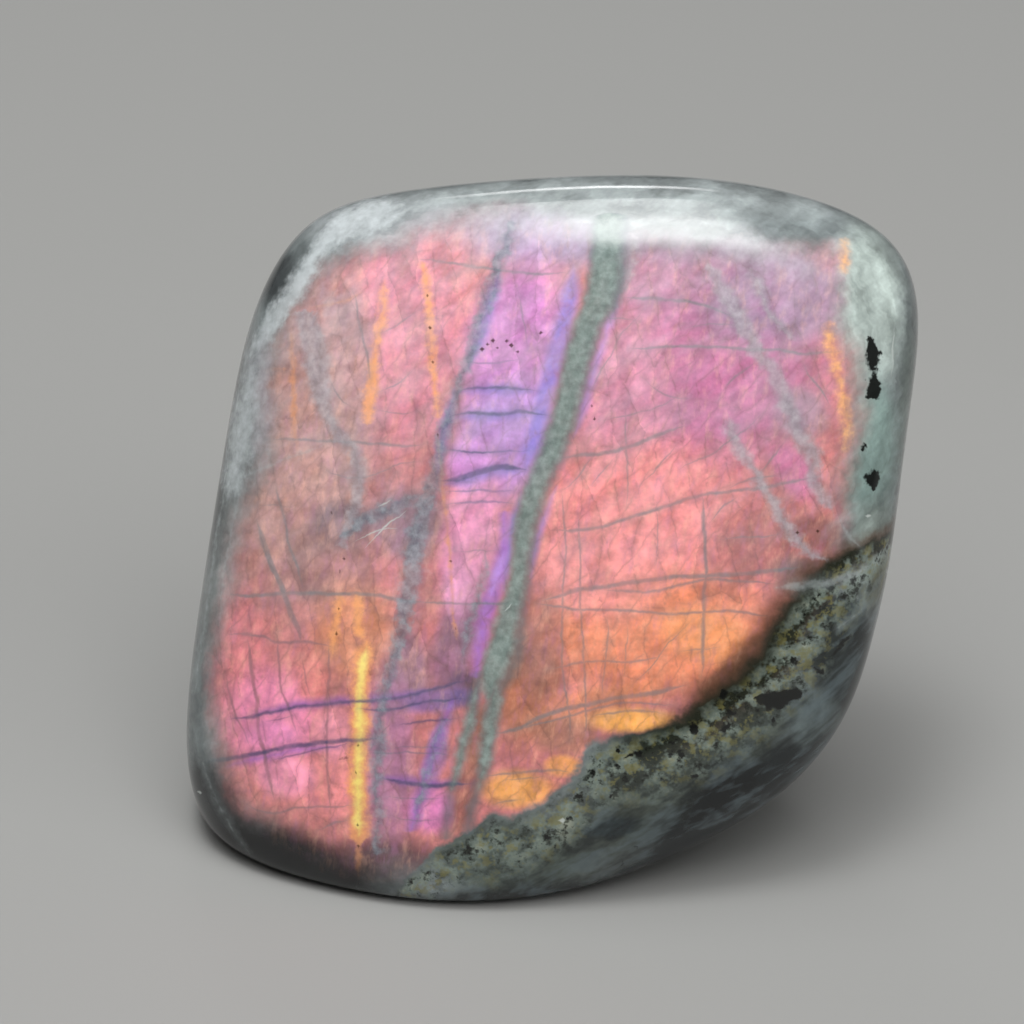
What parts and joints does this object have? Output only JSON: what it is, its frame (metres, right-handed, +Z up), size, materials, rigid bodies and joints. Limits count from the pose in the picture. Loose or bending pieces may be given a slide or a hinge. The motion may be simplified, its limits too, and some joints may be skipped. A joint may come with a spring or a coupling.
{
  "type": "polished labradorite freeform",
  "caption": "Freeform polished labradorite stone: a rounded wedge with a broad glowing face that leans back on its flat sawn foot, for display on a desk or shelf",
  "frame": {"origin": "the middle of the bounding box, at the surface that the sawn foot rests on", "axes": "+Z up out of the foot, the broad polished face looks towards -Y and leans back 28 degrees, +X runs across the face to the right as seen from the front"},
  "size_m": [0.0692, 0.0454, 0.0603],
  "materials": {
    "labradorite": "polished"
  },
  "bodies": {
    "root": {"stone": "labradorite"}
  },
  "joints": []
}
